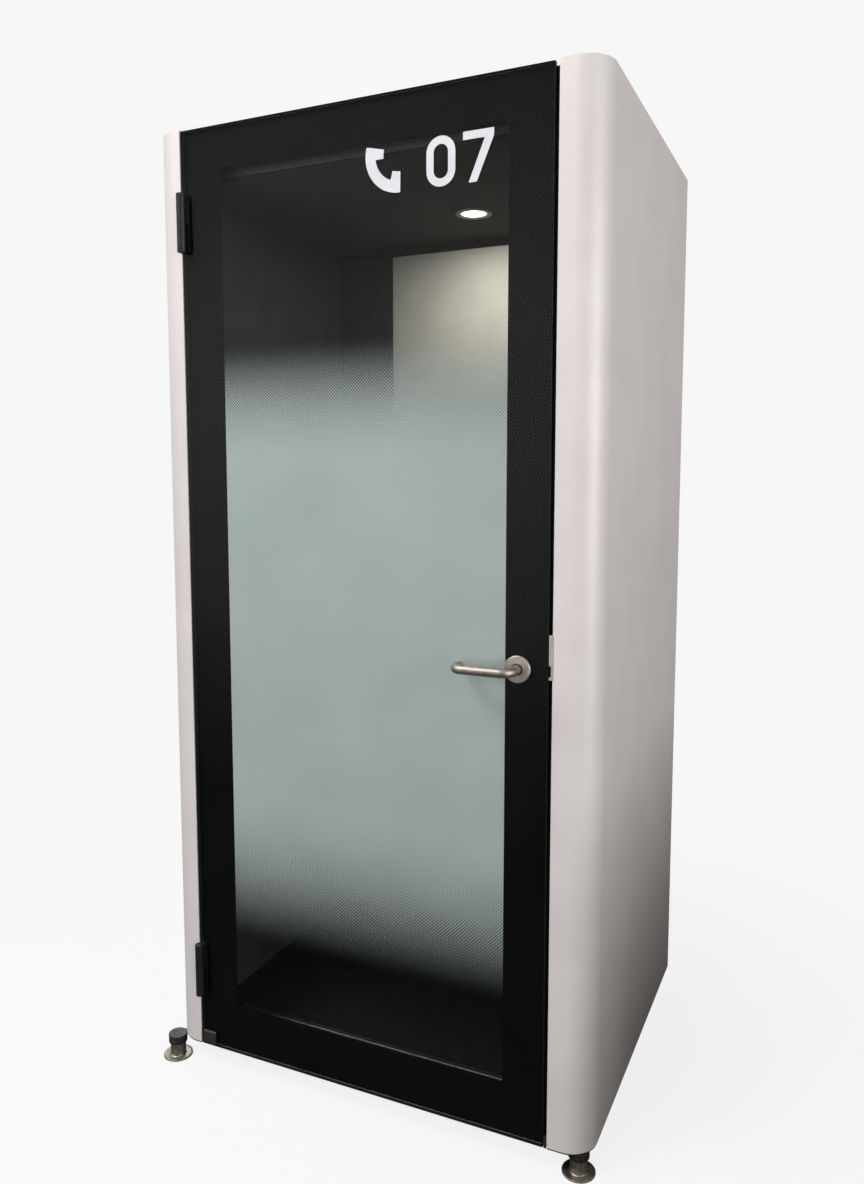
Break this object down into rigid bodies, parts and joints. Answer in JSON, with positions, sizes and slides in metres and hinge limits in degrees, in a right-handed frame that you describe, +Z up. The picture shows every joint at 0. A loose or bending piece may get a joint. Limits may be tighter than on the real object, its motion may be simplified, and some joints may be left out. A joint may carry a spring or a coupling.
{
  "type": "telephone booth",
  "caption": "Indoor acoustic phone booth with rounded silver side shells, a black-bordered glass door with a frosted gradient, a lever latch, levelling feet and a fitted cabin.",
  "frame": {"origin": "centre of the footprint (of the bounding box) on the floor", "axes": "+Z up, -Y out of the door, +X to the right when facing the door"},
  "size_m": [1.084, 0.8995, 2.195],
  "materials": {
    "silver_paint": "satin pearl paint",
    "tray_black": "satin black",
    "plywood": "raw",
    "sill_black": "black anodised",
    "threshold_aluminium": "satin",
    "carpet": "looped pile",
    "roof_paint": "matt paint",
    "acoustic_core": "open foam",
    "dark_felt": "pressed felt",
    "column_dark": "matt laminate",
    "cream_felt": "pressed felt",
    "ceiling_dark": "matt",
    "frame_black": "black powder coat",
    "gasket_rubber": "matt",
    "strike_steel": "brushed",
    "toughened_glass": "clear polished",
    "black_enamel": "fired enamel behind glass",
    "frosted_film": "dotted gradient film",
    "patch_black": "satin",
    "hinge_black": "satin black",
    "pin_steel": "ground",
    "blasted_steel": "satin stainless",
    "lock_black": "satin black",
    "bolt_nickel": "nickel plate",
    "light_trim": "white",
    "light_diffuser": "warm white, lit",
    "vent_black": "matt",
    "fan_black": "moulded",
    "module_grey": "moulded",
    "rocker_black": "moulded",
    "inlet_black": "moulded",
    "worktop_laminate": "laminate",
    "foot_steel": "turned stainless",
    "collar_black": "satin"
  },
  "bodies": {
    "root": {"left_shell": "silver_paint", "right_shell": "silver_paint", "rear_panel": "silver_paint", "base_tray": "tray_black", "floor_board": "plywood", "sill_rail": "sill_black", "threshold_strip": "threshold_aluminium", "floor_carpet": "carpet", "roof_panel": "roof_paint", "left_core": "acoustic_core", "right_core": "acoustic_core", "rear_core": "acoustic_core", "roof_core": "acoustic_core", "left_inner_wall": "dark_felt", "right_inner_wall": "dark_felt", "rear_inner_wall": "dark_felt", "service_column": "column_dark", "rear_acoustic_pad": "cream_felt", "ceiling_panel": "ceiling_dark", "left_jamb": "frame_black", "right_jamb": "frame_black", "head_rail": "frame_black", "door_gasket": "gasket_rubber", "strike_plate": "strike_steel", "upper_hinge_frame_leaf": "hinge_black", "lower_hinge_frame_leaf": "hinge_black", "upper_hinge_pin": "pin_steel", "lower_hinge_pin": "pin_steel", "light_housing": "light_trim", "light_lens": "light_diffuser", "ceiling_grille": "vent_black", "roof_grille": "vent_black", "fan_housing": "fan_black", "power_module": "module_grey", "power_inlet": "inlet_black", "worktop": "worktop_laminate", "front_left_foot_collar": "collar_black", "front_right_foot_collar": "collar_black", "rear_left_foot_collar": "collar_black", "rear_right_foot_collar": "collar_black"},
    "door": {"door_glass": "toughened_glass", "glass_border": "black_enamel", "privacy_film": "frosted_film", "corner_patch": "patch_black", "upper_hinge_door_leaf": "hinge_black", "lower_hinge_door_leaf": "hinge_black", "outer_rose": "blasted_steel", "inner_rose": "blasted_steel", "lock_case": "lock_black"},
    "lever": {"outer_lever": "blasted_steel", "inner_lever": "blasted_steel", "spindle": "pin_steel"},
    "latch": {"latch_bolt": "bolt_nickel"},
    "fan": {"fan_rotor": "fan_black"},
    "rocker": {"rocker_switch": "rocker_black"},
    "front_left_foot": {"front_left_foot": "foot_steel"},
    "front_right_foot": {"front_right_foot": "foot_steel"},
    "rear_left_foot": {"rear_left_foot": "foot_steel"},
    "rear_right_foot": {"rear_right_foot": "foot_steel"}
  },
  "joints": [
    {"name": "door_hinge", "type": "hinge", "parent": "root", "child": "door", "pos_m": [-0.4204, -0.39675, 1.1], "axis": [0, 0, -1], "range_deg": [0, 110]},
    {"name": "lever_turn", "type": "hinge", "parent": "door", "child": "lever", "pos_m": [0.377, -0.38525, 1.049], "axis": [0, -1, 0], "range_deg": [0, 45], "stiffness_Nm_per_rad": 1.2, "springref_deg": -57.3},
    {"name": "latch_slide", "type": "slide", "parent": "door", "child": "latch", "axis": [-1, 0, 0], "range_m": [0, 0.008]},
    {"name": "fan_spin", "type": "hinge", "parent": "root", "child": "fan", "pos_m": [0.361, -0.12525, 2.11], "axis": [0, 0, 1], "continuous": true},
    {"name": "rocker_tilt", "type": "hinge", "parent": "root", "child": "rocker", "pos_m": [-0.369, 0.35675, 1.166], "axis": [1, 0, 0], "range_deg": [-6, 6]},
    {"name": "front_left_foot_turn", "type": "hinge", "parent": "root", "child": "front_left_foot", "pos_m": [-0.507, -0.37925, 0.02], "axis": [0, 0, 1], "continuous": true},
    {"name": "front_right_foot_turn", "type": "hinge", "parent": "root", "child": "front_right_foot", "pos_m": [0.507, -0.35225, 0.02], "axis": [0, 0, 1], "continuous": true},
    {"name": "rear_left_foot_turn", "type": "hinge", "parent": "root", "child": "rear_left_foot", "pos_m": [-0.469, 0.40975, 0.02], "axis": [0, 0, 1], "continuous": true},
    {"name": "rear_right_foot_turn", "type": "hinge", "parent": "root", "child": "rear_right_foot", "pos_m": [0.479, 0.40975, 0.02], "axis": [0, 0, 1], "continuous": true}
  ],
  "couplings": [
    {"joint": "latch_slide", "follows": "lever_turn", "m_per_rad": 0.01}
  ]
}
